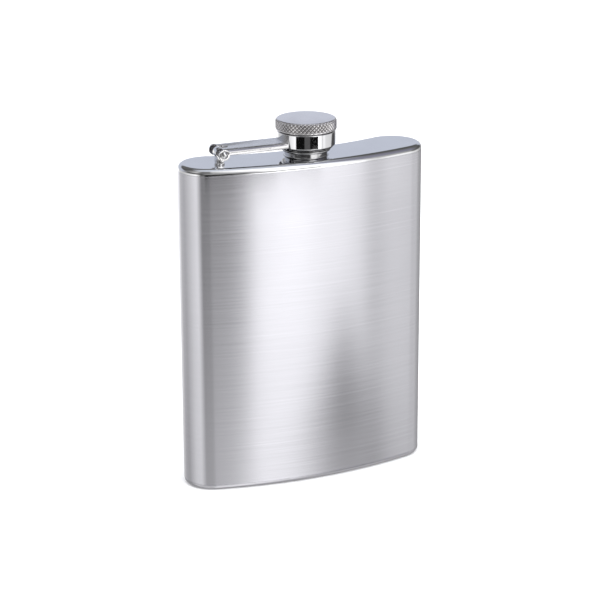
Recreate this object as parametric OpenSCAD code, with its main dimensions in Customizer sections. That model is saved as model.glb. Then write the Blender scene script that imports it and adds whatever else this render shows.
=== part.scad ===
// Pocket spirit flask with a kidney-shaped body and a captive screw cap on a swinging arm.
// Millimetres, +Z up. The base stands on Z = 0 and the body is centred on X = 0, Y = 0.
// The bowed front faces -Y, the hollow back faces +Y and the hinge is on the -X side.

/* [Body] */
// Width of the body across its rounded ends
body_w = 95; // [90:1:100]
// Radius of the rounded ends of the outline
end_r = 10.9; // [10.5:0.1:12]
// How far the front face bows out
front_bow = 4.8; // [4:0.1:5.5]
// How far the back face is hollowed in
back_bow = 5.2; // [4:0.1:5.4]
// Height of the top plate above the base
plate_z = 122.4; // [90:0.1:140]
// Thickness of the sheet the body is made from
sheet = 0.7; // [0.5:0.1:0.9]
// Radius of the drawn shoulder round the top plate
shoulder_r = 2; // [1.2:0.1:2.4]
// Radius round the base
base_r = 1.8; // [1.2:0.1:2.4]

/* [Neck] */
// Outside radius of the neck
neck_r = 7.8; // [7.6:0.1:7.9]
// Radius of the bore you drink and fill through
bore_r = 6; // [5:0.1:6.2]
// Height of the rim of the neck above the top plate
neck_h = 11.98; // [11.6:0.01:11.98]
// Radius of the bead the collar sits over
bead_r = 9; // [8.4:0.1:9.4]
// Rise of the thread in one turn
pitch = 2; // [1.6:0.1:2.4]
// Depth of the rolled thread, root to crest
thread_d = 0.6; // [0.4:0.1:0.6]

/* [Hinge] */
// Distance of the hinge pin from the neck's axis
pin_x = 33.7; // [30:0.1:37]
// Height of the hinge pin above the top plate
pin_h = 4.4; // [4.2:0.1:5]
// Radius of the hinge pin
pin_r = 0.7; // [0.6:0.05:0.9]
// Running clearance round the pin in the post
pin_gap = 0.05; // [0.02:0.01:0.08]
// Width of the arm
arm_w = 10.6; // [9:0.1:13]
// Thickness of the arm's strip
arm_t = 0.7; // [0.6:0.1:0.8]
// Depth of the arm's turned-down sides
arm_d = 2; // [1.6:0.1:2.4]
// Radius of the bend along the arm's edges
arm_bend = 1.2; // [0.9:0.1:1.5]
// Radius of the arm's ears
ear_r = 2; // [1.9:0.1:2.2]
// Width of the post between the ears
post_w = 3.2; // [2.4:0.1:3.4]

/* [Cap] */
// Outside radius of the knurled head
head_r = 11.1; // [11:0.1:12]
// Height of the head, without its dome
head_h = 3.9; // [3.8:0.1:5]
// Height of the dome on the head
dome_h = 0.3; // [0.2:0.1:1]
// Outside radius of the swivel collar
collar_r = 10.7; // [10.6:0.1:10.9]
// Height of the swivel collar
collar_h = 6.2; // [6.2:0.1:6.3]
// Outside radius of the threaded barrel
barrel_r = 8.8; // [8.7:0.05:8.9]
// Running clearance round the barrel in the collar
barrel_gap = 0.06; // [0.03:0.01:0.1]

/* [Hidden] */
$fn = 96;

// Outline: two end circles joined by a bowed front arc and a hollow back arc, all tangent.
end_x = body_w / 2 - end_r;
end_y = front_bow / 2;
front_a = (end_x * end_x - front_bow * front_bow) / (2 * front_bow);
back_a = (end_x * end_x - back_bow * back_bow) / (2 * back_bow);
front_R = front_a + end_r + front_bow;
back_R = back_a - end_r + back_bow;
front_t = atan(end_x / front_a);
back_t = atan(end_x / back_a);
seam_z = plate_z - shoulder_r - 0.4;
base_z = base_r + 0.2;

// The neck stands a little behind the middle of the top plate.
neck_y = end_y - (front_bow + back_bow) / 2 + 0.8;
thread_z0 = plate_z + 7.5;
thread_z1 = plate_z + 11.5;
catch_z0 = plate_z + 8.5;
thread_gap = 0.2;
thread_c = neck_r - thread_d / 2 - 0.05;
bore_b = neck_r + thread_gap;

collar_z = plate_z + 3.2;
web_t = 0.9;
collar_wall = 0.8;
head_z = collar_z + collar_h + 0.4;
seal_z = plate_z + 12;
seal_t = 1;
ring_z = collar_z + collar_h - web_t - 3 - 0.75;
ring_t = 0.7;

arm_z = plate_z + pin_h + ear_r;
pin_z = plate_z + pin_h;

steel = [0.78, 0.79, 0.80];
polished = [0.86, 0.87, 0.89];

// Points along one arc, leaving out its end, where the next arc starts.
function arc(x, y, r, a0, a1, n) =
    [for (i = [0 : n - 1]) let (a = a0 + (a1 - a0) * i / n) [x + r * cos(a), y + r * sin(a)]];

// Points round the outline, set in by t.
function round_points(t) = concat(
    arc(0, end_y + front_a, front_R - t, -90 - front_t, -90 + front_t, 34),
    arc(end_x, end_y, end_r - t, -90 + front_t, 90 + back_t, 20),
    arc(0, end_y + back_a, back_R + t, -90 + back_t, -90 - back_t, 26),
    arc(-end_x, end_y, end_r - t, 90 - back_t, 270 - front_t, 20));

// Solid filling the outline, set in by t.
module inside(t, h) {
    linear_extrude(h) {
        difference() {
            intersection() {
                translate([0, end_y + front_a]) circle(r = front_R - t, $fn = 360);
                polygon([
                    [end_x, end_y],
                    [end_x - sin(back_t) * 14, end_y + cos(back_t) * 14],
                    [-end_x + sin(back_t) * 14, end_y + cos(back_t) * 14],
                    [-end_x, end_y],
                    [-end_x - sin(front_t) * 14, end_y - cos(front_t) * 14],
                    [0, -30],
                    [end_x + sin(front_t) * 14, end_y - cos(front_t) * 14]
                ]);
            }
            translate([0, end_y + back_a]) circle(r = back_R + t, $fn = 360);
        }
        for (s = [-1, 1]) translate([s * end_x, end_y]) circle(r = end_r - t);
    }
}

// Bent rim of a pan of sheet, h deep, with its top at Z = 0 and a rounded upper edge.
// Each ring is [distance in from the outer face, height]: up the outside, then down the inside.
module pan_rim(r, h) {
    rings = concat(
        [[0, -h]],
        [for (i = [0 : 5]) [r - r * cos(i * 18), r * sin(i * 18) - r]],
        [[r + 0.8, 0], [r + 0.8, -sheet]],
        [for (i = [3 : -1 : 0]) [r - (r - sheet) * cos(i * 30), (r - sheet) * sin(i * 30) - r]],
        [[sheet, -h]]);
    n = len(round_points(0));
    k = len(rings);
    points = [for (g = rings) each [for (q = round_points(g[0])) [q[0], q[1], g[1]]]];
    polyhedron(points, [for (i = [0 : k - 1]) each [for (j = [0 : n - 1])
        [i * n + j, (i + 1) % k * n + j, (i + 1) % k * n + (j + 1) % n, i * n + (j + 1) % n]]]);
}

// Wrapped sheet between the two seams
module body_wall() {
    color(steel)
    translate([0, 0, base_z]) difference() {
        inside(0, seam_z - base_z);
        translate([0, 0, -1]) inside(sheet, seam_z - base_z + 2);
    }
}

// Drawn top with its rounded shoulder, pierced for the neck and the post
module top_plate() {
    color(polished) {
        translate([0, 0, plate_z]) pan_rim(shoulder_r, plate_z - seam_z);
        translate([0, 0, plate_z - sheet]) difference() {
            inside(shoulder_r + 0.4, sheet);
            translate([0, neck_y, -5]) cylinder(r = bore_r + 0.9, h = 10);
            translate([-pin_x, neck_y, -5]) cylinder(r = 0.9, h = 10);
        }
    }
}

// Drawn base with its small radius
module base_plate() {
    color(steel) {
        mirror([0, 0, 1]) pan_rim(base_r, base_z);
        inside(base_r + 0.4, sheet);
    }
}

// Turned neck: spigot through the plate, bead, plain part, rolled thread and rim
module neck() {
    color(polished)
    translate([0, neck_y, 0]) difference() {
        union() {
            translate([0, 0, plate_z - sheet - 0.5]) cylinder(r = bore_r + 0.9, h = 3);
            translate([0, 0, plate_z]) cylinder(r = neck_r, h = 7.5);
            translate([0, 0, plate_z + 2]) rotate_extrude() {
                square([bead_r - 0.55, 1.1]);
                translate([bead_r - 0.55, 0.55]) circle(r = 0.55, $fn = 32);
            }
            translate([0, 0, plate_z]) rotate_extrude() difference() {
                square([neck_r + 0.5, 0.5]);
                translate([neck_r + 0.5, 0.5]) circle(r = 0.5, $fn = 32);
            }
            translate([0, 0, thread_z0]) rotate([0, 0, 360 * (thread_z0 - plate_z) / pitch])
                linear_extrude(thread_z1 - thread_z0, twist = -360 * (thread_z1 - thread_z0) / pitch,
                    slices = round(14 * (thread_z1 - thread_z0) / pitch))
                    translate([thread_d / 2, 0]) circle(r = thread_c, $fn = 28);
            translate([0, 0, thread_z1]) cylinder(r = neck_r - thread_d - 0.15, h = neck_h - 11.5);
        }
        translate([0, 0, plate_z - 5]) cylinder(r = bore_r, h = 30);
    }
}

// Post for the hinge, riveted through the top plate
module hinge_post() {
    color(polished)
    translate([-pin_x, neck_y, 0]) difference() {
        union() {
            translate([0, 0, plate_z - sheet - 0.3]) cylinder(r = 0.9, h = 1.5);
            translate([0, 0, plate_z]) cylinder(r = 1.9, h = 0.5);
            translate([-1.2, -post_w / 2, plate_z]) cube([2.4, post_w, pin_h]);
            translate([0, post_w / 2, pin_z]) rotate([90, 0, 0]) cylinder(r = 1.9, h = post_w);
        }
        translate([0, 10, pin_z]) rotate([90, 0, 0]) cylinder(r = pin_r + pin_gap, h = 20);
    }
}

// Section of the arm: a shallow channel with rounded upper corners, its top at Y = 0
module channel() {
    r = arm_bend;
    difference() {
        union() {
            translate([-arm_w / 2 + r, -r]) square([arm_w - 2 * r, r]);
            translate([-arm_w / 2, -arm_d]) square([arm_w, arm_d - r]);
            for (s = [-1, 1]) translate([s * (arm_w / 2 - r), -r]) circle(r = r, $fn = 48);
        }
        translate([-arm_w / 2 + arm_t, -arm_d - 1]) square([arm_w - 2 * arm_t, arm_d + 1 - arm_t]);
    }
}

// Swinging arm: channel, two ears for the pin and a slot for the post
module hinge_arm() {
    color(steel)
    translate([0, neck_y, 0]) difference() {
        union() {
            translate([-pin_x, 0, arm_z]) rotate([90, 0, 90])
                linear_extrude(pin_x - 5) channel();
            for (s = [0, 1]) mirror([0, s, 0]) {
                translate([-pin_x, arm_w / 2, pin_z]) rotate([90, 0, 0]) cylinder(r = ear_r, h = arm_t);
                translate([-pin_x, arm_w / 2 - arm_t, pin_z]) cube([2.6, arm_t, ear_r - arm_bend]);
            }
        }
        translate([-pin_x - 5, -2, arm_z - 1.2]) cube([6.2, 4, 3]);
        translate([-pin_x + 1.2, 0, arm_z - 1.2]) cylinder(r = 2, h = 3);
        translate([-pin_x, 10, pin_z]) rotate([90, 0, 0]) cylinder(r = pin_r, h = 20);
        translate([0, 0, collar_z - 1]) cylinder(r = collar_r, h = collar_h + 2);
    }
}

// Collar brazed to the arm. The barrel turns and slides in the hole of its web.
module swivel_collar() {
    color(polished)
    translate([0, neck_y, collar_z]) rotate_extrude() difference() {
        polygon([
            [0, 0], [collar_r - 1, 0], [collar_r, 0.9], [collar_r, collar_h - 0.3],
            [collar_r - 0.3, collar_h], [0, collar_h]
        ]);
        translate([-1, -1]) square([collar_r - collar_wall + 1, collar_h - web_t + 1]);
        translate([-1, -1]) square([barrel_r + barrel_gap + 1, collar_h + 2]);
    }
}

// Rivet that the arm swings on
module hinge_pin() {
    k = 0.55;
    hr = 1.2;
    sr = (hr * hr + k * k) / (2 * k);
    color(polished)
    translate([-pin_x, neck_y, pin_z]) {
        translate([0, arm_w / 2, 0]) rotate([90, 0, 0]) cylinder(r = pin_r, h = arm_w);
        for (s = [0, 1]) mirror([0, s, 0])
            translate([0, arm_w / 2, 0]) rotate([-90, 0, 0]) rotate_extrude() intersection() {
                translate([0, k - sr]) circle(r = sr);
                square([hr + 1, k + 1]);
            }
    }
}

// Split spring ring in the barrel's groove that keeps the cap in the collar
module retaining_ring() {
    color(steel)
    translate([0, neck_y, ring_z]) difference() {
        cylinder(r = collar_r - collar_wall - 0.2, h = ring_t);
        translate([0, 0, -1]) cylinder(r = barrel_r - 0.38, h = 3);
        translate([0, -1, -1]) cube([20, 2, 3]);
    }
}

// Knurled head
module cap_head() {
    dr = head_r - 1;
    sr = (dr * dr + dome_h * dome_h) / (2 * dome_h);
    color(polished)
    translate([0, neck_y, head_z]) rotate_extrude() difference() {
        union() {
            polygon([
                [0, 0], [head_r - 0.3, 0], [head_r, 0.3], [head_r, head_h - 0.5],
                [head_r - 0.9, head_h], [0, head_h]
            ]);
            intersection() {
                translate([0, head_h + dome_h - sr]) circle(r = sr, $fn = 360);
                square([dr, head_h + dome_h + 1]);
            }
        }
        translate([-1, -1]) square([barrel_r + 1, seal_z + seal_t - head_z + 1]);
    }
}

// Threaded barrel pressed into the head
module cap_barrel() {
    z0 = collar_z + 0.1;
    color(steel)
    translate([0, neck_y, 0]) difference() {
        translate([0, 0, z0]) cylinder(r = barrel_r, h = seal_z + seal_t - z0);
        translate([0, 0, z0 - 1]) cylinder(r = bore_b, h = catch_z0 - z0 + 1);
        translate([0, 0, thread_z1]) cylinder(r = bore_b, h = 10);
        translate([0, 0, catch_z0 - 1 / 7]) rotate([0, 0, 360 * (catch_z0 - 1 / 7 - plate_z) / pitch])
            linear_extrude(thread_z1 - catch_z0 + 2 / 7,
                twist = -360 * (thread_z1 - catch_z0 + 2 / 7) / pitch,
                slices = round(14 * (thread_z1 - catch_z0 + 2 / 7) / pitch))
                translate([thread_d / 2, 0]) circle(r = thread_c + thread_gap, $fn = 28);
        translate([0, 0, ring_z - 0.05]) difference() {
            cylinder(r = 20, h = ring_t + 0.1);
            translate([0, 0, -1]) cylinder(r = barrel_r - 0.45, h = 3);
        }
    }
}

// Seal that closes on the rim of the neck
module cap_seal() {
    color([0.88, 0.87, 0.83])
    translate([0, neck_y, seal_z]) cylinder(r = bore_b, h = seal_t);
}

body_wall();
top_plate();
base_plate();
neck();
hinge_post();
hinge_arm();
swivel_collar();
hinge_pin();
retaining_ring();
cap_head();
cap_barrel();
cap_seal();
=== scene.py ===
import math

import bmesh
import bpy
from mathutils import Matrix, Vector


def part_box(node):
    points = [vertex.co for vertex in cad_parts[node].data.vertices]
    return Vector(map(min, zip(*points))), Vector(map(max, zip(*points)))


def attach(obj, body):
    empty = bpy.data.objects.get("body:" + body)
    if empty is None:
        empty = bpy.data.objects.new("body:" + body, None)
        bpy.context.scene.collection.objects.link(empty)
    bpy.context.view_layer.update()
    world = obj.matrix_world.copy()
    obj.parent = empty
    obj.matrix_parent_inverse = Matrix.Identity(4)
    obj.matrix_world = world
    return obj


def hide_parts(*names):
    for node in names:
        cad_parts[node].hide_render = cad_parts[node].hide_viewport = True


bl_info = {
    "name": "Hip Flask",
    "version": (1, 0, 0),
    "blender": (4, 5, 0),
    "location": "View3D > Sidebar > Flask",
    "description": "Finished pieces and finishes for a steel pocket flask with a captive screw cap",
    "category": "Object",
}

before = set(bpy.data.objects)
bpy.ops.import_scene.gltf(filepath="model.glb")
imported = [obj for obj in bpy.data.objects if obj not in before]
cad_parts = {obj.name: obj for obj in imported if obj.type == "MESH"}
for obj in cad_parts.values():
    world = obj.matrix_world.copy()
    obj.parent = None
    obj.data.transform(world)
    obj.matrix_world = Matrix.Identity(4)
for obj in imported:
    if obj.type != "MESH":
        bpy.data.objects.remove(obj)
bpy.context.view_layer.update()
MM = 0.001
TURN = 2 * math.pi
QUARTER = math.pi / 2


def mid(node, axis):
    low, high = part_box(node)
    return (low[axis] + high[axis]) / 2


def top_of(node):
    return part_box(node)[1][2]


def bottom_of(node):
    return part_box(node)[0][2]


def across(node, axis=0):
    low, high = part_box(node)
    return high[axis] - low[axis]


# Sizes read from the frame, in metres
AXIS_Y = mid("cap_head", 1)
PLATE_Z = top_of("top_plate")
SEAM_Z = bottom_of("top_plate")
BASE_Z = top_of("base_plate")
PIN_X = mid("hinge_pin", 0)
PIN_Z = mid("hinge_pin", 2)

# Fits that the pieces share, in metres
NECK_BORE = 6.0 * MM
NECK_HOLE = 6.9 * MM
BARREL_R = 8.8 * MM
BREAK = 0.05 * MM

# Shading splits at edges sharper than this, in degrees
SHARP = 32.0
SHARP_ROUND = 40.0


def length(name, description, default):
    return bpy.props.FloatProperty(name=name, description=description, default=default, min=0,
                                   unit="LENGTH", subtype="DISTANCE", precision=5)


def amount(name, description, default, low=0.0, high=1.0):
    return bpy.props.FloatProperty(name=name, description=description, default=default,
                                   min=low, max=high, subtype="FACTOR")


def colour(name, description, default):
    return bpy.props.FloatVectorProperty(name=name, description=description, default=default,
                                         size=3, min=0, max=1, subtype="COLOR")


class FlaskBodySizes(bpy.types.PropertyGroup):
    """Outline and edges of the body"""
    width: length("Width", "Width across the rounded ends", across("body_wall"))
    end_radius: length("End radius", "Radius of the rounded ends of the outline", 10.9 * MM)
    front_bow: length("Front bow", "How far the front face bows out", 4.8 * MM)
    back_bow: length("Back hollow", "How far the back face is hollowed in", 5.2 * MM)
    sheet: length("Sheet", "Thickness of the body's sheet", 0.7 * MM)
    shoulder: length("Shoulder radius", "Radius of the shoulder round the top plate", 2.0 * MM)
    base_edge: length("Base radius", "Radius round the base", 1.8 * MM)


class FlaskCapSizes(bpy.types.PropertyGroup):
    """Knurl and thread of the cap"""
    knurl_count: bpy.props.IntProperty(name="Knurl count", description="Diamonds round the head",
                                       default=48, min=24, max=120)
    knurl_depth: length("Knurl depth", "Depth of the knurl's grooves", 0.36 * MM)
    knurl_pitch: length("Knurl pitch", "Height of one diamond of the knurl", 1.4 * MM)
    thread_pitch: length("Thread pitch", "Rise of the thread in one turn", 2 * MM)
    thread_depth: length("Thread depth", "Depth of the rolled thread", 0.6 * MM)


class FlaskFinish(bpy.types.PropertyGroup):
    """Colours and finishes of the metal and the seal"""
    brushed: colour("Brushed steel", "Colour of the brushed body", (0.712, 0.706, 0.748))
    polished: colour("Polished steel", "Colour of the polished fittings", (0.8, 0.8, 0.815))
    cap: colour("Cap steel", "Colour of the knurled head", (0.9, 0.875, 0.88))
    # painted shade: the turned steel inside the cap is coloured far darker than the fittings' steel, for the
    # shade it sits in
    inner: colour("Inner steel", "Colour of the turned pieces inside the cap", (0.3, 0.3, 0.31))
    seal: colour("Seal", "Colour of the liner in the cap", (0.78, 0.76, 0.7))
    brushed_roughness: amount("Brushed roughness", "Roughness of the brushed body", 0.22)
    polished_roughness: amount("Polished roughness", "Roughness of the polished fittings", 0.07)
    grain: amount("Grain", "Strength of the brushing's relief", 0.11)


class FlaskStage(bpy.types.PropertyGroup):
    """Camera and light of the studio"""
    turn: bpy.props.FloatProperty(name="Turn", description="Camera's turn about the flask",
                                  default=math.radians(-23.54), subtype="ANGLE", unit="ROTATION")
    lift: bpy.props.FloatProperty(name="Lift", description="Camera's height above the horizon",
                                  default=math.radians(18.33), subtype="ANGLE", unit="ROTATION")
    roll: bpy.props.FloatProperty(name="Roll", description="Camera's roll",
                                  default=math.radians(-0.29), subtype="ANGLE", unit="ROTATION")
    distance: length("Distance", "Distance from the camera to the flask", 0.8)
    lens: bpy.props.FloatProperty(name="Lens", description="Focal length of the camera in millimetres",
                                  default=128.6, min=10, max=300)
    aim_height: length("Aim height", "Height of the point that the camera turns about", 0.056)
    brightness: amount("Brightness", "Strength of the studio's light", 1.0, 0.0, 5.0)
    floor: colour("Floor", "Colour of the floor", (0.93, 0.93, 0.935))


# ---------------------------------------------------------------- materials

def shade(colour, share):
    """A colour socket's value for a share of the colour."""
    return (*[min(c * share, 1) for c in colour], 1)


class Nodes:
    """Small helper that wires one procedural material."""

    def __init__(self, name):
        self.material = bpy.data.materials.new(name)
        self.material.use_nodes = True
        self.tree = self.material.node_tree
        self.tree.nodes.clear()
        self.out = self.add("ShaderNodeOutputMaterial")
        self.shader = self.add("ShaderNodeBsdfPrincipled")
        self.link(self.shader.outputs["BSDF"], self.out.inputs["Surface"])
        self.coords = self.add("ShaderNodeTexCoord")

    def add(self, kind, **values):
        node = self.tree.nodes.new(kind)
        for key, value in values.items():
            setattr(node, key, value)
        return node

    def link(self, a, b):
        self.tree.links.new(a, b)

    def put(self, socket, value):
        if hasattr(value, "is_linked"):
            self.link(value, socket)
        else:
            socket.default_value = value

    def math(self, operation, a, b=0.0):
        node = self.add("ShaderNodeMath", operation=operation)
        self.put(node.inputs[0], a)
        self.put(node.inputs[1], b)
        return node.outputs[0]

    def total(self, first, *others):
        for value in others:
            first = self.math("ADD", first, value)
        return first

    def times(self, a, b):
        return self.math("MULTIPLY", a, b)

    def spread(self, value, low, high, to_low=0.0, to_high=1.0):
        """Takes low to high to the other two values, and holds them beyond."""
        node = self.add("ShaderNodeMapRange", clamp=True)
        for slot, v in zip(node.inputs, (value, low, high, to_low, to_high)):
            self.put(slot, v)
        return node.outputs[0]

    def swing(self, noise, to_low=0.0, to_high=1.0):
        """Takes the usual span of a noise to the two values."""
        return self.spread(noise, 0.3, 0.7, to_low, to_high)

    def mapped(self, scale):
        node = self.add("ShaderNodeMapping")
        node.inputs["Scale"].default_value = scale
        self.link(self.coords.outputs["Object"], node.inputs["Vector"])
        return node.outputs[0]

    def place(self):
        split = self.add("ShaderNodeSeparateXYZ")
        self.link(self.coords.outputs["Object"], split.inputs[0])
        return split.outputs

    def from_axis(self):
        """Distance from the cap's axis, and height."""
        x, y, z = self.place()
        y = self.math("SUBTRACT", y, AXIS_Y)
        return self.math("SQRT", self.math("ADD", self.times(x, x), self.times(y, y))), z

    def joined(self, *values):
        join = self.add("ShaderNodeCombineXYZ")
        for slot, value in zip(join.inputs, values):
            self.link(value, slot)
        return join.outputs[0]

    def noise(self, vector, detail, roughness, seed):
        node = self.add("ShaderNodeTexNoise", noise_dimensions="4D")
        node.inputs["W"].default_value = seed
        node.inputs["Scale"].default_value = 1.0
        node.inputs["Detail"].default_value = detail
        node.inputs["Roughness"].default_value = roughness
        self.link(vector, node.inputs["Vector"])
        return node.outputs["Fac"]

    def tint(self, base, value, low, high):
        """The base colour, from its low share to its high share as value goes from 0 to 1."""
        return self.blend(value, shade(base, low), shade(base, high))

    def blend(self, fac, a, b):
        node = self.add("ShaderNodeMix", data_type="RGBA", blend_type="MIX")
        self.put(node.inputs[0], fac)
        self.put(node.inputs[6], a)
        self.put(node.inputs[7], b)
        return node.outputs[2]

    def bump(self, height, strength, distance, under=None):
        node = self.add("ShaderNodeBump")
        node.inputs["Strength"].default_value = strength
        node.inputs["Distance"].default_value = distance
        self.link(height, node.inputs["Height"])
        if under is not None:
            self.link(under, node.inputs["Normal"])
        return node.outputs["Normal"]

    def metal(self, anisotropy=0.0):
        """Bare metal. Where it is brushed, its highlights smear across the run of the piece's UVs."""
        self.shader.inputs["Metallic"].default_value = 1.0
        self.shader.inputs["Anisotropic"].default_value = anisotropy
        if anisotropy:
            node = self.add("ShaderNodeTangent", direction_type="UV_MAP", uv_map="run")
            self.link(node.outputs[0], self.shader.inputs["Tangent"])
            self.shader.inputs["Anisotropic Rotation"].default_value = 0.25
        return self

    def finished(self, base, roughness, normal):
        self.link(base, self.shader.inputs["Base Color"])
        self.link(roughness, self.shader.inputs["Roughness"])
        self.link(normal, self.shader.inputs["Normal"])
        return self.material


def brushed_steel(name, base, rough, grain, seed):
    """Steel brushed along level lines, with its fine streaks, hairlines and handling marks."""
    n = Nodes(name).metal(0.8)
    lines, drift, marks = 5200.0, 34.0, 0.3
    fine = n.noise(n.mapped((drift, drift, lines)), 2.0, 0.6, seed)
    broad = n.noise(n.mapped((drift * 0.7, drift * 0.7, lines * 0.33)), 1.0, 0.5, seed + 3)
    streak = n.total(n.times(fine, 0.5), n.times(broad, 0.5))
    handled = n.noise(n.mapped((42, 42, 26)), 3.0, 0.5, seed + 7)
    hair = n.noise(n.mapped((17, 17, 3100)), 0.0, 0.5, seed + 11)
    hairline = n.spread(hair, 0.735, 0.77)
    steel = n.tint(base, n.swing(streak), 0.945, 1.045)
    steel = n.blend(n.times(hairline, marks * 0.6), steel, shade(base, 1.25))
    r = n.total(rough, n.swing(streak, -0.03, 0.035), n.spread(handled, 0.35, 0.7, -0.02, 0.03),
                n.times(hairline, -0.1 * marks))
    wave = n.noise(n.mapped((26, 26, 9)), 1.0, 0.4, seed + 17)
    return n.finished(steel, r, n.bump(streak, grain, 0.04 * MM, n.bump(wave, 0.05, 0.8 * MM)))


def polished_steel(name, base, rough, seed, scuffs, shade_within=None):
    """Mirror-polished steel with buffing hairlines, faint cloudiness and a slight unevenness. It can be
    painted with near-black shade within a radius of the cap's axis."""
    n = Nodes(name).metal()
    cloud = n.noise(n.mapped((90, 90, 90)), 4.0, 0.6, seed)
    buff = n.noise(n.mapped((260, 2600, 2600)), 2.0, 0.6, seed + 2)
    crossed = n.noise(n.mapped((2900, 300, 900)), 1.0, 0.5, seed + 5)
    hair = n.spread(crossed, 0.72, 0.76)
    steel = n.tint(base, n.swing(cloud), 0.955, 1.03)
    # painted shade: the colour goes near black within the given radius of the cap's axis
    if shade_within:
        radius, height = n.from_axis()
        painted_shade = n.spread(radius, shade_within - 0.06 * MM, shade_within, 0.9, 0.0)
        steel = n.blend(painted_shade, steel, shade((1, 1, 1), 0.2))
    r = n.total(rough, n.spread(cloud, 0.35, 0.75, -0.02, 0.05),
                n.times(n.spread(buff, 0.45, 0.75), 0.05 * scuffs), n.times(hair, 0.22 * scuffs))
    soft = n.noise(n.mapped((55, 55, 55)), 1.0, 0.4, seed + 9)
    marks = n.total(n.times(buff, 0.7), n.times(hair, -0.5))
    under = n.bump(soft, 0.03, 1.2 * MM)
    return n.finished(steel, r, n.bump(marks, 0.06 * scuffs + 0.02, 0.03 * MM, under))


def turned_steel(name, base, rough, seed):
    """Steel turned in a lathe: fine rings about the cap's axis over its flat faces and walls."""
    n = Nodes(name).metal(0.6)
    rings = 2600.0
    radius, height = n.from_axis()
    ring = n.noise(n.joined(n.times(radius, rings), n.times(height, rings)), 2.0, 0.6, seed)
    cloud = n.noise(n.mapped((150, 150, 150)), 4.0, 0.6, seed + 4)
    r = n.total(rough, n.swing(ring, -0.04, 0.06), n.spread(cloud, 0.35, 0.75, -0.02, 0.05))
    return n.finished(n.tint(base, n.swing(ring), 0.93, 1.05), r, n.bump(ring, 0.12, 0.03 * MM))


def knurled_steel(name, base, rough, seed):
    """Polished head: bright crests and grooves painted with near-black shade over the knurl, turned rings on
    the dome.
    """
    n = Nodes(name).metal()
    radius, height = n.from_axis()
    ring = n.noise(n.joined(n.times(radius, 3000.0)), 2.0, 0.6, seed)
    cloud = n.noise(n.mapped((160, 160, 160)), 4.0, 0.6, seed + 4)
    groove = n.add("ShaderNodeAttribute", attribute_name="groove")
    # painted shade: the groove mark turns the colour near black in the knurl's grooves, where shade falls; it
    # also roughens them
    groove_shade = n.spread(groove.outputs["Fac"], 0.25, 0.95)
    steel = n.tint(base, n.swing(ring), 0.95, 1.04)
    steel = n.blend(n.times(groove_shade, n.swing(cloud, 0.8, 1.0)), steel,
                    (base[0] * 0.17, base[1] * 0.165, base[2] * 0.165, 1))
    r = n.total(rough, n.spread(cloud, 0.35, 0.75, -0.03, 0.07), n.times(groove_shade, 0.25))
    return n.finished(steel, r, n.bump(ring, 0.05, 0.03 * MM))


def seal_liner(name, base, seed):
    """Soft moulded liner, slightly mottled and matt."""
    n = Nodes(name)
    n.shader.inputs["Specular IOR Level"].default_value = 0.4
    n.shader.inputs["Subsurface Weight"].default_value = 0.1
    cloud = n.noise(n.mapped((600, 600, 600)), 4.0, 0.6, seed)
    grit = n.noise(n.mapped((5200, 5200, 5200)), 2.0, 0.5, seed + 2)
    return n.finished(n.tint(base, n.swing(cloud), 0.86, 1.05), n.swing(cloud, 0.5, 0.68),
                      n.bump(grit, 0.2, 0.04 * MM))


def base_finish(finish):
    """Brushed base with the scuffs it picks up from standing."""
    n = Nodes("brushed_base").metal(0.4)
    lines = n.noise(n.mapped((30, 2600, 2600)), 2.0, 0.6, 4.0)
    scuff = n.noise(n.mapped((420, 900, 300)), 4.0, 0.7, 9.0)
    rub = n.spread(scuff, 0.58, 0.7)
    steel = n.tint(finish.brushed, n.swing(lines), 0.88, 1.06)
    steel = n.blend(n.times(rub, 0.5), steel, (0.5, 0.49, 0.48, 1))
    r = n.total(finish.brushed_roughness - 0.06, n.swing(lines, -0.05, 0.06), n.times(rub, 0.12))
    return n.finished(steel, r, n.bump(n.total(lines, n.times(rub, -0.4)), 0.2, 0.04 * MM))


def arm_finish():
    """Satin strip, brushed along its length, rubbed bright along its bends, with painted shade, near black,
    inside the channel.
    """
    n = Nodes("satin_arm").metal(0.35)
    lines = n.noise(n.mapped((120, 3600, 3600)), 2.0, 0.6, 31.0)
    cloud = n.noise(n.mapped((210, 210, 210)), 4.0, 0.6, 33.0)
    steel = n.tint((0.9, 0.89, 0.9), n.swing(lines), 0.92, 1.03)
    x, y, z = n.place()
    top = top_of("hinge_arm")
    half = across("hinge_arm", 1) / 2
    inside, edge = 0.66 * MM, 0.55 * MM
    # painted shade: the colour goes near black inside the channel under the arm, where shade falls
    aside = n.math("ABSOLUTE", n.math("SUBTRACT", y, AXIS_Y))
    painted_shade = n.times(n.spread(aside, half - inside, half - edge, 1.0, 0.0),
                     n.spread(z, top - inside, top - edge, 1.0, 0.0))
    steel = n.blend(n.times(painted_shade, 0.85), steel, (0.16, 0.155, 0.155, 1))
    r = n.total(n.spread(z, top - 0.8 * MM, top - 0.1 * MM, 0.12, 0.24), n.swing(lines, -0.05, 0.06),
                n.spread(cloud, 0.35, 0.75, -0.03, 0.06))
    return n.finished(steel, r, n.bump(lines, 0.12, 0.03 * MM))


def pale_floor(name, base):
    n = Nodes(name)
    cloud = n.noise(n.mapped((3, 3, 3)), 3.0, 0.5, 1.0)
    n.link(n.tint(base, cloud, 0.995, 1.005), n.shader.inputs["Base Color"])
    n.shader.inputs["Roughness"].default_value = 0.9
    n.shader.inputs["Specular IOR Level"].default_value = 0.1
    return n.material


# ---------------------------------------------------------------- shapes

def arc(x, y, r, start, end, count):
    return [(x + r * math.cos(start + (end - start) * i / count),
             y + r * math.sin(start + (end - start) * i / count)) for i in range(count)]


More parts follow.
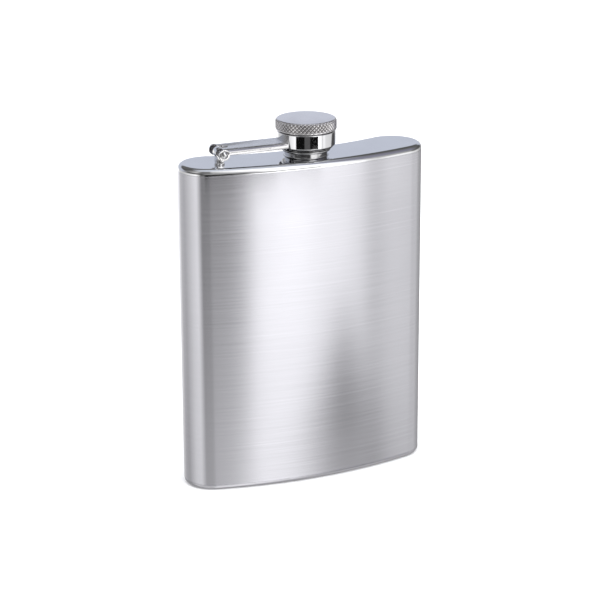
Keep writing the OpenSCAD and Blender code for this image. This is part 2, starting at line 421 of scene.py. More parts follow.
class Outline:
    """The body's outline: two end circles joined by a bowed front arc and a hollow back arc."""

    def __init__(self, body):
        r = self.r = body.end_radius
        x = self.x = body.width / 2 - r
        self.y = body.front_bow / 2
        self.front = (x * x - body.front_bow ** 2) / (2 * body.front_bow)
        self.back = (x * x - body.back_bow ** 2) / (2 * body.back_bow)
        self.front_r = self.front + r + body.front_bow
        self.back_r = self.back - r + body.back_bow
        self.front_t = math.atan2(x, self.front)
        self.back_t = math.atan2(x, self.back)
        self.counts = (128, 88, 104, 88)

    def points(self, inset):
        q = QUARTER
        front, right, back, left = self.counts
        return (arc(0, self.y + self.front, self.front_r - inset, -q - self.front_t, -q + self.front_t, front)
                + arc(self.x, self.y, self.r - inset, -q + self.front_t, q + self.back_t, right)
                + arc(0, self.y + self.back, self.back_r + inset, -q + self.back_t, -q - self.back_t, back)
                + arc(-self.x, self.y, self.r - inset, q - self.back_t, 3 * q - self.front_t, left))

    def ring(self, inset, z):
        return [(x, y, z) for x, y in self.points(inset)]


def circle(r, z, count):
    """A level ring about the cap's axis."""
    return [(r * math.cos(TURN * i / count), AXIS_Y + r * math.sin(TURN * i / count), z)
            for i in range(count)]


def bend(r, steps):
    """(distance along, rise) of a quarter bend, from upright to level."""
    return [(r - r * math.cos(QUARTER * i / steps), r * math.sin(QUARTER * i / steps))
            for i in range(steps + 1)]


def rounded(corners, steps=4):
    """A closed section of (radius, height, bend) corners, with each corner rounded by its bend."""
    out = []
    count = len(corners)
    for i, (x, z, r) in enumerate(corners):
        here = Vector((x, z))
        before = Vector(corners[i - 1][:2])
        after = Vector(corners[(i + 1) % count][:2])
        if r <= 0:
            out.append((x, z))
            continue
        u, v = before - here, after - here
        half = u.angle(v) / 2
        cut = min(r / math.tan(half), u.length * 0.49, v.length * 0.49)
        r = cut * math.tan(half)
        u.normalize()
        v.normalize()
        centre = here + (u + v).normalized() * (r / math.sin(half))
        a, b = here + u * cut - centre, here + v * cut - centre
        turn = math.atan2(a.x * b.y - a.y * b.x, a.dot(b))
        for k in range(steps + 1):
            t = turn * k / steps
            out.append((centre.x + a.x * math.cos(t) - a.y * math.sin(t),
                        centre.y + a.x * math.sin(t) + a.y * math.cos(t)))
    return out


def smoothed(mesh, sharp):
    mesh.polygons.foreach_set("use_smooth", [True] * len(mesh.polygons))
    mesh.set_sharp_from_angle(angle=math.radians(sharp))


def finish_mesh(name, vertices, faces, uv, material, sharp):
    """One closed mesh with its faces outwards, its run of UVs and smooth shading up to the sharp angle."""
    mesh = bpy.data.meshes.new(name)
    mesh.from_pydata(vertices, [], faces)
    layer = mesh.uv_layers.new(name="run")
    for loop, value in zip(layer.data, uv):
        loop.uv = value
    mesh.validate()
    bm = bmesh.new()
    bm.from_mesh(mesh)
    bmesh.ops.remove_doubles(bm, verts=bm.verts, dist=1e-7)
    bmesh.ops.recalc_face_normals(bm, faces=bm.faces)
    bm.to_mesh(mesh)
    bm.free()
    smoothed(mesh, sharp)
    mesh.materials.append(material)
    piece = bpy.data.objects.new(name, mesh)
    bpy.context.scene.collection.objects.link(piece)
    return piece


def steadied(rings, closed, hold=0.04 * MM, over=0.35 * MM):
    """Adds a ring close to each end of every long straight run, so its flat stays flat in the shading."""
    out = []
    for i, ring in enumerate(rings):
        out.append(ring)
        if i == len(rings) - 1 and not closed:
            break
        after = rings[(i + 1) % len(rings)]
        pairs = [(Vector(a), Vector(b)) for a, b in zip(ring, after)]
        if min((b - a).length for a, b in pairs) > over:
            out.append([tuple(a + (b - a).normalized() * hold) for a, b in pairs])
            out.append([tuple(b - (b - a).normalized() * hold) for a, b in pairs])
    return out


def loft(name, rings, material, closed=True, sharp=SHARP):
    """Skins a run of rings with the same number of points. A closed run joins its last ring to its first, and
    an open run is filled at both ends."""
    rings = steadied(rings, closed)
    n = len(rings[0])
    vertices = [p for ring in rings for p in ring]
    faces, uv = [], []
    spans = len(rings) if closed else len(rings) - 1
    along = [0.0]
    for j in range(n):
        a, b = Vector(rings[0][j]), Vector(rings[0][(j + 1) % n])
        along.append(along[-1] + (b - a).length)
    rise = [0.0]
    for i in range(spans):
        a, b = Vector(rings[i][0]), Vector(rings[(i + 1) % len(rings)][0])
        rise.append(rise[-1] + (b - a).length)
    for i in range(spans):
        k = (i + 1) % len(rings)
        for j in range(n):
            m = (j + 1) % n
            faces.append((i * n + j, i * n + m, k * n + m, k * n + j))
            uv += [(along[j], rise[i]), (along[j + 1], rise[i]),
                   (along[j + 1], rise[i + 1]), (along[j], rise[i + 1])]
    for i in () if closed else (0, len(rings) - 1):
        vertices.append(tuple(sum((Vector(p) for p in rings[i]), Vector()) / n))
        for j in range(n):
            a, b = (j, (j + 1) % n) if i else ((j + 1) % n, j)
            faces.append((i * n + a, i * n + b, len(vertices) - 1))
            uv += [(along[j], 0), (along[j + 1], 0), (along[j], MM)]
    return finish_mesh(name, vertices, faces, uv, material, sharp)


def lathe(name, section, material, count, reach=lambda r, z, angle: r):
    """Turns a closed section of (radius, height) about the cap's axis. reach may vary the radius."""
    rings = []
    for r, z in section:
        ring = []
        for i in range(count):
            angle = TURN * i / count
            far = reach(r, z, angle)
            ring.append((far * math.cos(angle), AXIS_Y + far * math.sin(angle), z))
        rings.append(ring)
    return loft(name, rings, material, sharp=SHARP_ROUND)


def settled(piece):
    """Keeps what the piece's modifiers make as its plain mesh."""
    depsgraph = bpy.context.evaluated_depsgraph_get()
    piece.data = bpy.data.meshes.new_from_object(piece.evaluated_get(depsgraph))
    piece.modifiers.clear()
    return piece.data


def softened(name, node, material, width):
    """A merged copy of a CAD node's mesh with its sharp edges broken by a small round."""
    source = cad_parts[node]
    mesh = source.data.copy()
    mesh.name = name
    bm = bmesh.new()
    bm.from_mesh(mesh)
    bmesh.ops.remove_doubles(bm, verts=bm.verts, dist=2e-6)
    bmesh.ops.dissolve_limit(bm, angle_limit=math.radians(1.0), verts=bm.verts, edges=bm.edges)
    for face in bm.faces:
        face.smooth = True
    bm.to_mesh(mesh)
    bm.free()
    for attribute in [a.name for a in mesh.color_attributes]:
        mesh.color_attributes.remove(mesh.color_attributes[attribute])
    mesh.materials.clear()
    mesh.materials.append(material)
    piece = bpy.data.objects.new(name, mesh)
    bpy.context.scene.collection.objects.link(piece)
    rim = piece.modifiers.new("edge round", "BEVEL")
    rim.width = width
    rim.segments = 3
    rim.limit_method = "ANGLE"
    rim.angle_limit = math.radians(35)
    done = settled(piece)
    bm = bmesh.new()
    bm.from_mesh(done)
    bmesh.ops.triangulate(bm, faces=[f for f in bm.faces if len(f.verts) > 4])
    run = bm.loops.layers.uv.get("run") or bm.loops.layers.uv.new("run")
    for face in bm.faces:
        flat = max(range(3), key=lambda k: abs(face.normal[k]))
        a, b = [k for k in range(3) if k != flat]
        for loop in face.loops:
            loop[run].uv = (loop.vert.co[a], loop.vert.co[b])
    bm.to_mesh(done)
    bm.free()
    smoothed(done, SHARP)
    return piece


def belongs(piece, body, node):
    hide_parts(node)
    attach(piece, body)


# ---------------------------------------------------------------- knurl

def knurl_tree(material):
    """Geometry nodes that cut two crossing runs of helical grooves into the head's band."""
    tree = bpy.data.node_groups.new("diamond_knurl", "GeometryNodeTree")
    face = tree.interface
    face.new_socket("Geometry", in_out="INPUT", socket_type="NodeSocketGeometry")
    ids = {}
    for name in ("Count", "Depth", "Pitch", "Radius", "Low", "High", "Axis Y"):
        socket = face.new_socket(name, in_out="INPUT", socket_type="NodeSocketFloat")
        ids[name] = socket.identifier
    face.new_socket("Geometry", in_out="OUTPUT", socket_type="NodeSocketGeometry")
    nodes, links = tree.nodes, tree.links
    start = nodes.new("NodeGroupInput")
    end = nodes.new("NodeGroupOutput")

    def value(socket, v):
        if hasattr(v, "is_linked"):
            links.new(v, socket)
        else:
            socket.default_value = v

    def calc(operation, a, b=0.0):
        node = nodes.new("ShaderNodeMath")
        node.operation = operation
        value(node.inputs[0], a)
        value(node.inputs[1], b)
        return node.outputs[0]

    spot = nodes.new("GeometryNodeInputPosition")
    parts = nodes.new("ShaderNodeSeparateXYZ")
    links.new(spot.outputs[0], parts.inputs[0])
    x, y, z = parts.outputs
    y = calc("SUBTRACT", y, start.outputs["Axis Y"])
    angle = calc("ARCTAN2", y, x)
    radius = calc("SQRT", calc("ADD", calc("MULTIPLY", x, x), calc("MULTIPLY", y, y)))
    turn = calc("MULTIPLY", angle, calc("DIVIDE", start.outputs["Count"], TURN))
    climb = calc("DIVIDE", calc("SUBTRACT", z, start.outputs["Low"]), start.outputs["Pitch"])

    def groove(run):
        # 1 in the middle of a groove, falling off to 0 on the crest
        saw = calc("ABSOLUTE", calc("SUBTRACT", calc("FRACT", run), 0.5))
        return calc("SUBTRACT", 1.0, calc("MULTIPLY", saw, 3.5))

    one = calc("MAXIMUM", groove(calc("ADD", turn, climb)), 0.0)
    other = calc("MAXIMUM", groove(calc("SUBTRACT", turn, climb)), 0.0)
    deep = calc("MAXIMUM", one, other)
    # the grooves run out towards the head's two edges
    from_low = calc("DIVIDE", calc("SUBTRACT", z, start.outputs["Low"]), 0.3 * MM)
    from_high = calc("DIVIDE", calc("SUBTRACT", start.outputs["High"], z), 0.4 * MM)
    fade = calc("MINIMUM", calc("MINIMUM", from_low, from_high), 1.0)
    fade = calc("MAXIMUM", fade, 0.0)
    outer = calc("GREATER_THAN", radius, calc("SUBTRACT", start.outputs["Radius"], 1.4 * MM))
    mark = calc("MULTIPLY", calc("MULTIPLY", deep, fade), outer)
    cut = calc("MULTIPLY", mark, start.outputs["Depth"])
    share = calc("MULTIPLY", calc("DIVIDE", cut, radius), -1.0)
    shift = nodes.new("ShaderNodeCombineXYZ")
    links.new(calc("MULTIPLY", x, share), shift.inputs[0])
    links.new(calc("MULTIPLY", y, share), shift.inputs[1])
    move = nodes.new("GeometryNodeSetPosition")
    links.new(shift.outputs[0], move.inputs["Offset"])
    # the groove mark is kept for the head's material, which paints shade into the grooves with it
    keep = nodes.new("GeometryNodeStoreNamedAttribute")
    keep.data_type = "FLOAT"
    keep.domain = "POINT"
    keep.inputs["Name"].default_value = "groove"
    links.new(start.outputs["Geometry"], keep.inputs["Geometry"])
    links.new(mark, keep.inputs["Value"])
    links.new(keep.outputs["Geometry"], move.inputs["Geometry"])
    real = nodes.new("GeometryNodeRealizeInstances")
    paint = nodes.new("GeometryNodeSetMaterial")
    paint.inputs["Material"].default_value = material
    links.new(move.outputs[0], real.inputs[0])
    links.new(real.outputs[0], paint.inputs[0])
    links.new(paint.outputs[0], end.inputs[0])
    return tree, ids


def run_tree(piece, tree, ids, values):
    """Puts the tree on the piece, sets its inputs by identifier and keeps the result as a plain mesh."""
    step = piece.modifiers.new("knurl", "NODES")
    step.node_group = tree
    for name, v in values.items():
        step[ids[name]] = float(v)
    settled(piece)


# ---------------------------------------------------------------- operators

class FLASK_OT_body(bpy.types.Operator):
    """Makes the brushed wall, the polished top plate and the base"""
    bl_idname = "flask.body"
    bl_label = "Body"

    def execute(self, context):
        body, finish = context.scene.flask_body, context.scene.flask_finish
        shape = Outline(body)
        steel = brushed_steel("brushed_body", finish.brushed, finish.brushed_roughness, finish.grain, 2.0)
        mirror = polished_steel("polished_top", finish.polished, finish.polished_roughness, 5.0, 0.5)
        belongs(wall_sheet(shape, body.sheet, steel), "flask", "body_wall")
        belongs(drawn_top(shape, body.sheet, body.shoulder, mirror), "flask", "top_plate")
        belongs(drawn_base(shape, body.sheet, body.base_edge, base_finish(finish)), "flask", "base_plate")
        return {"FINISHED"}


def wall_sheet(shape, sheet, material):
    rows = 8
    rings = [shape.ring(BREAK, BASE_Z), shape.ring(0, BASE_Z + BREAK)]
    rings += [shape.ring(0, BASE_Z + (SEAM_Z - BASE_Z) * i / rows) for i in range(1, rows)]
    rings += [shape.ring(0, SEAM_Z - BREAK), shape.ring(BREAK, SEAM_Z)]
    rings += [shape.ring(sheet, SEAM_Z), shape.ring(sheet, BASE_Z)]
    return loft("body_wall_sheet", rings, material, sharp=SHARP_ROUND)


def drawn_top(shape, sheet, shoulder, material):
    """Flat top with the neck's hole, and the shoulder that turns down to the seam."""
    def hole(z):
        turns = [math.atan2(y - AXIS_Y, x) for x, y in shape.points(shoulder)]
        return [(NECK_HOLE * math.cos(a), AXIS_Y + NECK_HOLE * math.sin(a), z) for a in turns]

    foot = PLATE_Z - shoulder
    rings = [shape.ring(BREAK, SEAM_Z), shape.ring(0, SEAM_Z + BREAK)]
    rings += [shape.ring(a, foot + b) for a, b in bend(shoulder, 14)]
    rings += [hole(PLATE_Z), hole(PLATE_Z - sheet)]
    rings += [shape.ring(sheet + a, foot + b) for a, b in reversed(bend(shoulder - sheet, 5))]
    rings += [shape.ring(sheet, SEAM_Z)]
    return loft("top_plate_drawn", rings, material, sharp=SHARP_ROUND)


def drawn_base(shape, sheet, edge, material):
    inner = [shape.ring(sheet + a, edge - b) for a, b in reversed(bend(edge - sheet, 5))]
    rings = inner + [shape.ring(sheet, BASE_Z), shape.ring(BREAK, BASE_Z), shape.ring(0, BASE_Z - BREAK)]
    rings += [shape.ring(a, edge - b) for a, b in bend(edge, 10)]
    return loft("base_plate_drawn", rings, material, closed=False, sharp=SHARP_ROUND)


def thread_reach(middle, cap, low, high):
    """Radius round a rolled thread between two heights, for the points of a section at its middle radius."""
    offset = cap.thread_depth / 2

    def reach(r, z, angle):
        if not (low - 1e-7 <= z <= high + 1e-7) or abs(r - middle) > 1e-9:
            return r
        turn = angle - TURN * (z - PLATE_Z) / cap.thread_pitch
        return offset * math.cos(turn) + math.sqrt(middle ** 2 - (offset * math.sin(turn)) ** 2)
    return reach


class FLASK_OT_neck(bpy.types.Operator):
    """Makes the turned neck with its bead, thread and rim"""
    bl_idname = "flask.neck"
    bl_label = "Neck"

    def execute(self, context):
        cap, finish = context.scene.flask_cap, context.scene.flask_finish
        # painted shade: the neck's steel is coloured at two thirds of the polished colour, darker than the
        # other fittings' steel
        dark = [c * 0.66 for c in finish.polished]
        metal = polished_steel("polished_neck", dark, finish.polished_roughness + 0.02, 11.0, 0.6)
        z = PLATE_Z
        root, wall, thread = 7.05 * MM, 7.8 * MM, 7.45 * MM
        foot, fillet = 8.3 * MM, 0.5 * MM
        bead, bead_z, bead_r = 8.45 * MM, z + 2.55 * MM, 0.55 * MM
        low, high, rim = z + 7.5 * MM, z + 11.5 * MM, z + 11.98 * MM
        spigot = z - 1.2 * MM
        section = [(NECK_BORE, spigot), (NECK_HOLE, spigot), (NECK_HOLE, z - 0.02 * MM), (foot, z)]
        section += [(foot - fillet * math.sin(a), z + fillet - fillet * math.cos(a))
                    for a in [QUARTER * i / 6 for i in range(1, 7)]]
        section += [(wall, z + 2.0 * MM)]
        section += [(bead + bead_r * math.sin(a), bead_z - bead_r * math.cos(a))
                    for a in [math.pi * i / 12 for i in range(13)]]
        section += [(wall, z + 3.1 * MM), (wall, low - 0.01 * MM)]
        rows = 44
        section += [(thread, low + (high - low) * i / rows) for i in range(rows + 1)]
        section += rounded([(root, high + 0.01 * MM, 0), (root, rim, 0.25 * MM), (NECK_BORE, rim, 0.25 * MM)])
        piece = lathe("neck_turned", section, metal, 192, thread_reach(thread, cap, low, high))
        belongs(piece, "flask", "neck")
        return {"FINISHED"}


class FLASK_OT_hinge(bpy.types.Operator):
    """Makes the post, the arm and the rivet between them"""
    bl_idname = "flask.hinge"
    bl_label = "Hinge"

    def execute(self, context):
        finish = context.scene.flask_finish
        metal = polished_steel("polished_post", finish.polished, finish.polished_roughness + 0.06, 17.0, 0.8)
        post = softened("hinge_post_turned", "hinge_post", metal, 0.14 * MM)
        belongs(post, "flask", "hinge_post")
        arm = softened("hinge_arm_pressed", "hinge_arm", arm_finish(), 0.1 * MM)
        belongs(arm, "arm", "hinge_arm")
        metal = polished_steel("polished_rivet", finish.polished, finish.polished_roughness + 0.05, 23.0, 0.7)
        belongs(rivet(metal), "arm", "hinge_pin")
        return {"FINISHED"}


def rivet(material):
    """Round pin along the hinge with a low dome at each end."""
    pin_r, head_r, head = 0.7 * MM, 1.2 * MM, 0.55 * MM
    wide = across("hinge_pin", 1) / 2 - head
    ball = (head_r ** 2 + head ** 2) / (2 * head)
    side = [(head_r - 0.04 * MM, wide), (head_r, wide + BREAK)]
    for i in range(1, 9):
        a = math.asin(head_r / ball) * (1 - i / 9)
        side.append((ball * math.sin(a), wide + head - ball + ball * math.cos(a)))
    section = [(r, -h) for r, h in reversed(side)] + [(pin_r, -wide), (pin_r, wide)] + side
    turns = [TURN * i / 48 for i in range(48)]
    rings = [[(PIN_X + r * math.cos(a), AXIS_Y + h, PIN_Z + r * math.sin(a)) for a in turns]
             for r, h in section]
    return loft("hinge_rivet", rings, material, closed=False)


class FLASK_OT_collar(bpy.types.Operator):
    """Makes the swivel collar and the spring ring inside it"""
    bl_idname = "flask.collar"
    bl_label = "Collar"

    def execute(self, context):
        finish = context.scene.flask_finish
        r, low, high = across("swivel_collar") / 2, bottom_of("swivel_collar"), top_of("swivel_collar")
        hole = BARREL_R + 0.06 * MM
        lip = low + 0.9 * MM
        # painted shade on the collar within 9.95 mm of the cap's axis: its bore and the inner edge of its
        # top, in the gap round the barrel
        metal = polished_steel("polished_collar", finish.polished, finish.polished_roughness - 0.01, 41.0,
                               0.5, shade_within=9.95 * MM)
        section = rounded([
            (r - 0.8 * MM, low, 0.08 * MM), (r - 0.98 * MM, low, 0.0),
            (r, lip, 0.35 * MM), (r, high, 0.3 * MM), (hole, high, 0.1 * MM),
            (hole, high - 0.9 * MM, 0.05 * MM), (r - 0.8 * MM, high - 0.9 * MM, 0.2 * MM)], 6)
        belongs(lathe("swivel_collar_drawn", section, metal, 192), "arm", "swivel_collar")
        # painted shade: the spring ring takes the darkened inner steel colour
        spring = turned_steel("spring_ring_steel", finish.inner, 0.3, 47.0)
        ring = softened("retaining_ring_split", "retaining_ring", spring, 0.08 * MM)
        belongs(ring, "cap_catch", "retaining_ring")
        return {"FINISHED"}


class FLASK_OT_cap(bpy.types.Operator):
    """Makes the knurled head, the threaded barrel and the seal"""
    bl_idname = "flask.cap"
    bl_label = "Cap"

    def execute(self, context):
        cap, finish = context.scene.flask_cap, context.scene.flask_finish
        metal = knurled_steel("knurled_head", finish.cap, 0.16, 53.0)
        belongs(knurled_head(cap, metal), "cap", "cap_head")
        # painted shade: the barrel takes the darkened inner steel colour
        turned = turned_steel("turned_barrel", finish.inner, 0.28, 59.0)
        belongs(threaded_barrel(cap, turned), "cap", "cap_barrel")
        soft = seal_liner("cap_liner", finish.seal, 61.0)
        belongs(liner_disc(soft), "cap", "cap_seal")
        return {"FINISHED"}


def knurled_head(cap, metal):
    """Head with a rounded rim, a low dome and the knurl cut into its band."""
    r, z, top, seat = across("cap_head") / 2, bottom_of("cap_head"), top_of("cap_head"), top_of("cap_barrel")
    dome, rim, foot = 0.3 * MM, 0.95 * MM, 0.22 * MM
    shoulder = top - dome
    low, high = z + 0.3 * MM, shoulder - 0.03 * MM
    flat = r - rim
    ball = (flat * flat + dome * dome) / (2 * dome)
    section = [(0.4 * MM, seat), (BARREL_R, seat), (BARREL_R, z + 0.02 * MM), (r - foot, z)]
    section += [(r - foot + foot * math.sin(a), z + foot - foot * math.cos(a))
                for a in [QUARTER * i / 5 for i in range(1, 6)]]
    rows, bends, dome_rings = 40, 18, 24
    section += [(r, low + (shoulder - rim - low) * i / rows) for i in range(1, rows + 1)]
    section += [(flat + rim * math.cos(a), shoulder - rim + rim * math.sin(a))
                for a in [QUARTER * i / bends for i in range(1, bends)]]
    section += [(flat, shoulder)]
    section += [(x, top - ball + math.sqrt(ball ** 2 - x ** 2))
                for x in [flat * (1 - i / dome_rings) for i in range(1, dome_rings)]]
    points_a_groove = 12
    rings = [circle(a, b, points_a_groove * cap.knurl_count) for a, b in section]
    head = loft("cap_head_knurled", rings, metal, closed=False)
    tree, ids = knurl_tree(metal)
    run_tree(head, tree, ids, {"Count": cap.knurl_count, "Depth": cap.knurl_depth, "Pitch": cap.knurl_pitch,
                               "Radius": r, "Low": low, "High": high, "Axis Y": AXIS_Y})
    smoothed(head.data, 38.0)
    return head


def threaded_barrel(cap, metal):
    """Tube with a groove for the spring ring outside and the cap's thread inside."""
    low, seat = bottom_of("cap_barrel"), top_of("cap_barrel")
    groove = bottom_of("retaining_ring") - BREAK
    groove_top, groove_r = groove + 0.8 * MM, 8.35 * MM
    catch, stop = PLATE_Z + 8.5 * MM, PLATE_Z + 11.5 * MM
    bore, thread = 8.0 * MM, 7.65 * MM
    section = [(bore + BREAK, low), (BARREL_R - 0.08 * MM, low), (BARREL_R, low + 0.08 * MM),
               (BARREL_R, groove), (groove_r, groove), (groove_r, groove_top), (BARREL_R, groove_top),
               (BARREL_R, seat), (bore, seat), (bore, stop + 0.01 * MM)]
    rows = 34
    section += [(thread, stop - (stop - catch) * i / rows) for i in range(rows + 1)]
    section += [(bore, catch - 0.01 * MM), (bore, low + BREAK)]
    return lathe("cap_barrel_threaded", section, metal, 160, thread_reach(thread, cap, catch, stop))


def liner_disc(material):
    r, low, high = across("cap_seal") / 2, bottom_of("cap_seal"), top_of("cap_seal")
    steps = 10
    section = [(r * i / steps, high) for i in range(1, steps + 1)]
    section += [(r, low + 0.1 * MM), (r - 0.1 * MM, low)]
    section += [(r * (steps - i) / steps, low) for i in range(1, steps)]
    return loft("cap_seal_liner", [circle(a, b, 96) for a, b in section], material, closed=False)


# ---------------------------------------------------------------- stage

# Brightness of the room by bearing, in degrees from the front towards the right, at four heights
DUSK = (0.40, 0.425, 0.49)
ROOM_BELOW = (
    (-180, 0.30), (-126, 0.24), (-91, 0.50), (-64, 0.43), (-50, 0.42), (-20, 0.44), (-7, 0.56), (-3, 0.62),
    (0, 0.74), (4, 0.73), (8, 0.67), (18, 0.63), (21, 0.55), (25, 0.46), (33, 0.36), (40, 0.33), (48, 0.37),
    (57, 0.34), (89, 0.38), (104, 0.34), (135, 0.25), (180, 0.30))
ROOM_LEVEL = (
    (-180, 0.85), (-166, 0.90), (-152, 0.50), (-126, 0.43), (-91, 0.63), (-66, 0.88), (-55, 0.46),
    (-47, 0.08), (-20, 0.09), (-7, 0.10), (-3, 0.10), (0, 0.20), (1.5, 0.45), (4, 0.98), (8, 1.12),
    (18, 1.16), (24, 1.12), (33, 1.06), (38, 0.96), (40.5, 0.62), (44, 0.56), (47, 0.78), (54, 0.78),
    (60, 0.62), (89, 0.54), (104, 0.33), (135, 0.25), (158, 0.35), (170, 0.8), (180, 0.85))
ROOM_HIGH = (
    (-180, DUSK), (-140, DUSK), (-112, 0.20), (-100, 0.08), (-42, 0.07), (-30, 0.18), (-8, 0.22), (3, 0.30),
    (9, 0.95), (28, 1.05), (35, 0.75), (42, 0.34), (54, 0.3), (62, 0.14), (98, 0.08), (122, 0.06),
    (132, DUSK), (180, DUSK))
ROOM_OVER = (
    (-180, 0.10), (-130, 0.07), (-100, 0.2), (-70, 0.4), (-50, 0.12), (-10, 0.14), (6, 1.0), (24, 1.05),
    (34, (0.7, 0.72, 0.78)), (42, (0.2, 0.2, 0.24)), (70, (0.16, 0.16, 0.2)), (100, 0.1), (130, 0.07),
    (180, 0.10))
CEILING = (0.36, 0.38, 0.42, 1)
ROOM_TONE = 0.75


def studio_world(strength):
    """White room with soft strips of light and shade round it, by direction only."""
    world = bpy.data.worlds.new("studio")
    bpy.context.scene.world = world
    world.use_nodes = True
    tree = world.node_tree
    tree.nodes.clear()
    add, join = tree.nodes.new, tree.links.new
    out, back = add("ShaderNodeOutputWorld"), add("ShaderNodeBackground")
    back.inputs["Strength"].default_value = strength * 2
    join(back.outputs[0], out.inputs[0])
    place, parts = add("ShaderNodeTexCoord"), add("ShaderNodeSeparateXYZ")
    join(place.outputs["Generated"], parts.inputs[0])
    x, y, z = parts.outputs

    def put(socket, value):
        if hasattr(value, "is_linked"):
            join(value, socket)
        else:
            socket.default_value = value

    def calc(operation, a, b=0.0):
        node = add("ShaderNodeMath")
        node.operation = operation
        put(node.inputs[0], a)
        put(node.inputs[1], b)
        return node.outputs[0]

    # 0 and 1 at the back, 0.5 at the front
    bearing = calc("ARCTAN2", x, calc("MULTIPLY", y, -1.0))
    bearing = calc("ADD", calc("DIVIDE", bearing, TURN), 0.5)

    def ramp(stops):
        node = add("ShaderNodeValToRGB")
        node.color_ramp.interpolation = "LINEAR"
        items = node.color_ramp.elements
        while len(items) > 1:
            items.remove(items[-1])
        for i, (degrees, tone) in enumerate(stops):
            at = (degrees + 180) / 360
            item = items[0] if i == 0 else items.new(at)
            item.position = at
            tone = tone if isinstance(tone, tuple) else (tone, tone, tone)
            item.color = (*[v * ROOM_TONE for v in tone], 1)
        join(bearing, node.inputs[0])
        return node.outputs[0]

    def above(low, high, under, over):
        """Goes from one colour to the other as the direction rises from low to high."""
        rise = add("ShaderNodeMapRange")
        for socket, value in zip(rise.inputs, (z, low, high)):
            put(socket, value)
        node = add("ShaderNodeMix")
        node.data_type = "RGBA"
        join(rise.outputs[0], node.inputs[0])
        put(node.inputs[6], under)
        put(node.inputs[7], over)
        return node.outputs[2]

    room = above(-0.43, -0.23, ramp(ROOM_BELOW), ramp(ROOM_LEVEL))
    room = above(-0.06, 0.10, room, ramp(ROOM_HIGH))
    room = above(0.36, 0.44, room, ramp(ROOM_OVER))
    join(above(0.84, 0.985, room, CEILING), back.inputs["Color"])


def soft_shade(name, spot, bearing):
    """A clear sheet with a soft dark cloud on it, widest low down. It only shows in the metal."""
    # height in millimetres, depth of the shade in its middle, and its width in millimetres
    levels = ((-40, 0.42, 26), (-13, 0.50, 24), (1, 0.60, 19), (12, 0.60, 15), (23, 0.54, 12), (34, 0.36, 9),
              (45, 0.16, 8), (60, 0.0, 8))
    reaches = range(-60, 61, 3)
    side = Vector((math.cos(bearing), math.sin(bearing), 0))
    points = [tuple(spot + side * (reach * MM) + Vector((0, 0, z * MM))) for z, deep, wide in levels
              for reach in reaches]
    depths = [deep * math.exp(-0.5 * (reach / wide) ** 2) for z, deep, wide in levels for reach in reaches]
    n = len(reaches)
    faces = [(n * j + i, n * j + i + 1, n * j + n + i + 1, n * j + n + i)
             for j in range(len(levels) - 1) for i in range(n - 1)]
    mesh = bpy.data.meshes.new(name)
    mesh.from_pydata(points, [], faces)
    cloud = mesh.attributes.new("shade", "FLOAT", "POINT")
    cloud.data.foreach_set("value", depths)
    return hang(name, mesh, 0.0, "shade")


def curved_card(name, start, end, low, high, tone):
    """A dim card bent round the cap's axis between two bearings, measured from the front, and two depths
    below the plate's level in millimetres."""
    mesh = bpy.data.meshes.new(name)
    radius, steps = 70 * MM, 32
    points = []
    for i in range(steps + 1):
        a = math.radians(start + (end - start) * i / steps)
        for depth in (low, high):
            points.append((radius * math.sin(a), AXIS_Y - radius * math.cos(a), PLATE_Z - depth * MM))
    mesh.from_pydata(points, [], [(2 * i, 2 * i + 1, 2 * i + 3, 2 * i + 2) for i in range(steps)])
    return hang(name, mesh, tone)


def hang(name, mesh, tone, fade=None):
    """Hangs a card in the room that shows only in the metal, as solid as its fade attribute says."""
    n = Nodes(name)
    if fade:
        reader = n.add("ShaderNodeAttribute", attribute_name=fade)
        n.link(reader.outputs["Fac"], n.shader.inputs["Alpha"])
    n.shader.inputs["Base Color"].default_value = (0, 0, 0, 1)
    n.shader.inputs["Specular IOR Level"].default_value = 0
    n.shader.inputs["Roughness"].default_value = 1
    n.shader.inputs["Emission Color"].default_value = (1, 0.98, 1, 1)
    n.shader.inputs["Emission Strength"].default_value = tone
    mesh.materials.append(n.material)
    piece = bpy.data.objects.new(name, mesh)
    for ray in ("camera", "diffuse", "transmission", "volume_scatter", "shadow"):
        setattr(piece, "visible_" + ray, False)
    bpy.context.scene.collection.objects.link(piece)
    return piece


class FLASK_OT_stage(bpy.types.Operator):
    """Sets up the floor, the studio light and the camera"""
    bl_idname = "flask.stage"
    bl_label = "Stage"

    def execute(self, context):
        scene = context.scene
        stage = scene.flask_stage
        pale_ground(stage.floor)
        studio_world(stage.brightness)
        # dark strips for the collar and the neck to mirror
        curved_card("collar_shade_left", -60, -29, 12.3, 3.5, 0.005)
        curved_card("collar_shade_mid", -29, -9, 12.3, 3.5, 0.1)
        curved_card("collar_shade_right", -9, 21, 11.8, 3.5, 0.005)
        curved_card("neck_shade", -60, -4, 16, 12.3, 0.005)
        soft_shade("low_shade", Vector((43 * MM, -65 * MM, 0)), math.radians(31))
        overhead_glow()
        scene.camera = studio_camera(stage, Vector((0, scene.flask_body.front_bow / 2, stage.aim_height)))
        scene.view_settings.view_transform = "Standard"
        return {"FINISHED"}


def pale_ground(colour):
    size = 12.0
    mesh = bpy.data.meshes.new("floor")
    mesh.from_pydata([(-size, -size, 0), (size, -size, 0), (size, size, 0), (-size, size, 0)], [],
                     [(0, 1, 2, 3)])
    mesh.materials.append(pale_floor("pale_floor", colour))
    floor = bpy.data.objects.new("floor", mesh)
    floor.visible_glossy = False
    bpy.context.scene.collection.objects.link(floor)


def overhead_glow():
    """Broad soft light from above, for the floor and the seal only."""
    light = bpy.data.lights.new("overhead_glow", "SUN")
    light.angle = math.radians(120)
    light.energy = 3.9
    lamp = bpy.data.objects.new("overhead_glow", light)
    lamp.rotation_euler = (math.radians(10), 0, 0)
    lamp.visible_glossy = False
    bpy.context.scene.collection.objects.link(lamp)


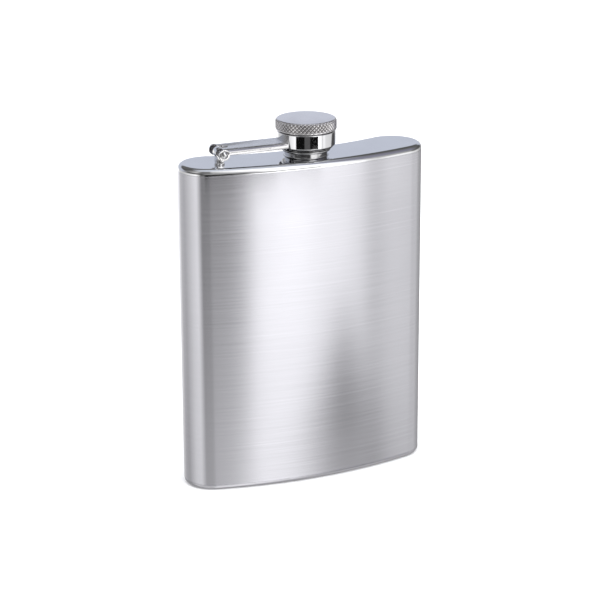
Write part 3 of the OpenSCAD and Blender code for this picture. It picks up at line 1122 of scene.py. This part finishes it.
def studio_camera(stage, aim):
    a, e, r = stage.turn, stage.lift, stage.roll
    back = Vector((math.sin(a) * math.cos(e), -math.cos(a) * math.cos(e), math.sin(e)))
    right = Vector((math.cos(a), math.sin(a), 0))
    up = right.cross(-back)
    right, up = right * math.cos(r) + up * math.sin(r), up * math.cos(r) - right * math.sin(r)
    # stands a little left of the aim and above it, so that the flask sits low and to the right
    spot = aim + back * stage.distance - right * 0.83 * MM + up * 9.16 * MM
    data = bpy.data.cameras.new("camera")
    data.lens = stage.lens
    data.sensor_width = 36
    data.clip_start, data.clip_end = 0.01, 20
    camera = bpy.data.objects.new("camera", data)
    camera.matrix_world = Matrix.Translation(spot) @ Matrix((right, up, back)).transposed().to_4x4()
    bpy.context.scene.collection.objects.link(camera)
    return camera


class FLASK_PT_panel(bpy.types.Panel):
    """Lists the flask's pieces, sizes and finishes"""
    bl_label = "Hip flask"
    bl_idname = "FLASK_PT_panel"
    bl_space_type = "VIEW_3D"
    bl_region_type = "UI"
    bl_category = "Flask"

    def draw(self, context):
        layout = self.layout
        for name in ("body", "neck", "hinge", "collar", "cap", "stage"):
            layout.operator("flask." + name)
        for name in GROUPS:
            group = getattr(context.scene, name)
            box = layout.box()
            for key in group.__annotations__:
                box.prop(group, key)


CLASSES = (FlaskBodySizes, FlaskCapSizes, FlaskFinish, FlaskStage, FLASK_OT_body, FLASK_OT_neck,
           FLASK_OT_hinge, FLASK_OT_collar, FLASK_OT_cap, FLASK_OT_stage, FLASK_PT_panel)
GROUPS = {"flask_body": FlaskBodySizes, "flask_cap": FlaskCapSizes, "flask_finish": FlaskFinish,
          "flask_stage": FlaskStage}


def register():
    for item in CLASSES:
        bpy.utils.register_class(item)
    for name, group in GROUPS.items():
        setattr(bpy.types.Scene, name, bpy.props.PointerProperty(type=group))


def unregister():
    for name in GROUPS:
        delattr(bpy.types.Scene, name)
    for item in reversed(CLASSES):
        bpy.utils.unregister_class(item)


def main():
    register()
    bpy.ops.flask.body()
    bpy.ops.flask.neck()
    bpy.ops.flask.hinge()
    bpy.ops.flask.collar()
    bpy.ops.flask.cap()
    bpy.ops.flask.stage()


if __name__ == "__main__":
    main()
